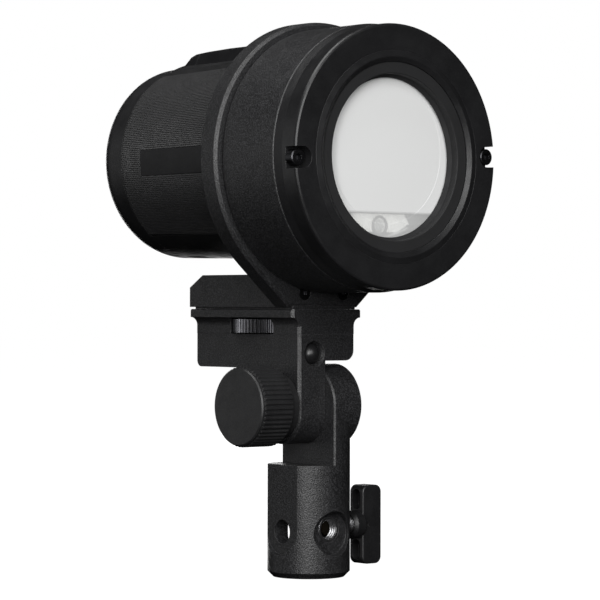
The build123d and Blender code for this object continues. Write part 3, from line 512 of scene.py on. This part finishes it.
def release_coil():
    """A round wire wound about a line along Y, from the button to the plug behind it."""
    low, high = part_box("release_spring")
    middle = (low + high) / 2
    radius = (high.x - low.x) / 2 - SPRING_WIRE
    length = high.y - low.y
    stations = SPRING_TURNS * SPRING_STEPS
    points = []
    for i in range(stations + 1):
        share = i / stations
        turn = 2 * pi * SPRING_TURNS * share
        y = low.y + SPRING_WIRE + (length - 2 * SPRING_WIRE) * share
        for j in range(WIRE_SIDES):
            side = 2 * pi * j / WIRE_SIDES
            reach = radius + SPRING_WIRE * cos(side)
            along = y + SPRING_WIRE * sin(side)
            points.append((middle.x + reach * cos(turn), along, middle.z + reach * sin(turn)))
    faces = [list(range(WIRE_SIDES)), list(range(stations * WIRE_SIDES, (stations + 1) * WIRE_SIDES))]
    for i in range(stations):
        for j in range(WIRE_SIDES):
            corner = i * WIRE_SIDES + j
            following = i * WIRE_SIDES + (j + 1) % WIRE_SIDES
            faces.append([corner, following, following + WIRE_SIDES, corner + WIRE_SIDES])
    replaced = ["release_spring"]
    coil = add_piece("release_coil", points, faces, "bright_steel", "bracket", replaced, smooth=True)
    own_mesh(coil)


release_coil()


# ---- Printed scale round the rear dial ----

TICKS = 11
TICK_SWEEP = radians(270)
TICK_START = radians(-45)
TICK_REACH = (10.9 * MM, 12.6 * MM)
TICK_TIP = 0.2 * MM
TICK_HALF_WIDTH = 0.22 * MM
END_TICK_EXTRA = 0.8 * MM
INK = 0.04 * MM


def ink_prism(outline, y):
    """A thin raised patch of ink with this outline of (X, Z) points, on a face that looks along +Y."""
    count = len(outline)
    points = [(x, y - INK, z) for x, z in outline] + [(x, y + INK, z) for x, z in outline]
    faces = [list(range(count)), list(range(count, 2 * count))]
    faces += [[i, (i + 1) % count, (i + 1) % count + count, i + count] for i in range(count)]
    return points, faces


def dial_scale():
    """Short strokes round the dial, the first and last of them longer."""
    middle = centre("control_dial")
    points, faces = [], []
    for i in range(TICKS):
        angle = TICK_START + TICK_SWEEP * i / (TICKS - 1)
        inner, outer = TICK_REACH
        if i in (0, TICKS - 1):
            outer += END_TICK_EXTRA
        pointed = ((inner, -1), (outer, -0.7), (outer + TICK_TIP, 0), (outer, 0.7), (inner, 1))
        outline = []
        for reach, across in pointed:
            side = across * TICK_HALF_WIDTH
            x = middle.x + reach * cos(angle) - side * sin(angle)
            z = middle.z + reach * sin(angle) + side * cos(angle)
            outline.append((x, z))
        stroke, walls = ink_prism(outline, cap_high.y)
        faces += [[v + len(points) for v in wall] for wall in walls]
        points += stroke
    add_piece("dial_scale", points, faces, "white_plastic", "head")


dial_scale()


# ---- Camera, light and floor ----

CAMERA_PLACE = Vector((-680.1, -812.3, 104.1)) * MM
CAMERA_AZIMUTH = radians(-39.746)
CAMERA_PITCH = radians(0.156)
CAMERA_ROLL = radians(0.126)
CAMERA_LENS = 163.8

camera = bpy.data.cameras.new("camera")
camera.lens = CAMERA_LENS
camera.sensor_width = 36.0
camera.clip_start = 0.05
camera_object = bpy.data.objects.new("camera", camera)
camera_object.location = CAMERA_PLACE
camera_object.rotation_euler = (pi / 2 + CAMERA_PITCH, -CAMERA_ROLL, CAMERA_AZIMUTH)
bpy.context.scene.collection.objects.link(camera_object)
bpy.context.scene.camera = camera_object


def soft_light(name, place, aim, size, power):
    light = bpy.data.lights.new(name, "AREA")
    light.shape = "RECTANGLE"
    light.size, light.size_y = size
    light.energy = power
    lamp = bpy.data.objects.new(name, light)
    lamp.visible_camera = False
    lamp.location = place
    lamp.rotation_euler = (Vector(aim) - Vector(place)).to_track_quat("-Z", "Y").to_euler()
    bpy.context.scene.collection.objects.link(lamp)


# Each lamp's name, its place from the object's middle, its width and height, and its power in watts.
LAMPS = (
    ("key", (-0.50, -0.90, 0.42), (0.9, 0.9), 12),
    ("top", (-0.30, 0.00, 1.10), (0.9, 0.9), 10),
    ("edge", (-0.86, -0.72, 0.06), (0.18, 0.5), 4.5),
    ("side", (-0.80, 0.85, 0.10), (0.7, 0.7), 0.7),
    ("rear", (0.55, 1.05, 0.05), (0.6, 0.6), 4),
)

middle = (Vector(cad_box[0]) + Vector(cad_box[1])) / 2
for name, place, size, power in LAMPS:
    soft_light(name, middle + Vector(place), middle, size, power)

world = bpy.data.worlds.new("studio")
bpy.context.scene.world = world
world.use_nodes = True
world.node_tree.nodes["Background"].inputs["Color"].default_value = (1.0, 1.0, 1.0, 1.0)
world.node_tree.nodes["Background"].inputs["Strength"].default_value = 1.0
world.cycles_visibility.diffuse = False
world.cycles_visibility.glossy = False
world.cycles_visibility.transmission = False
bpy.context.scene.view_settings.view_transform = "Standard"

FLOOR_SIZE = 6.0
FLOOR_TOP = -0.2 * MM
floor_mesh = bpy.data.meshes.new("floor")
square = [(-1, -1), (1, -1), (1, 1), (-1, 1)]
floor_mesh.from_pydata([(x * FLOOR_SIZE, y * FLOOR_SIZE, FLOOR_TOP) for x, y in square], [], [(0, 1, 2, 3)])
floor = bpy.data.objects.new("floor", floor_mesh)
floor_paint = Surface("floor_paint", (0.10, 0.10, 0.10), 0.9)
floor_paint.set("Emission Color", (1.0, 1.0, 1.0, 1.0))
floor_paint.set("Emission Strength", 1.0)
floor_mesh.materials.append(floor_paint.material)
floor.visible_diffuse = False
floor.visible_glossy = False
bpy.context.scene.collection.objects.link(floor)
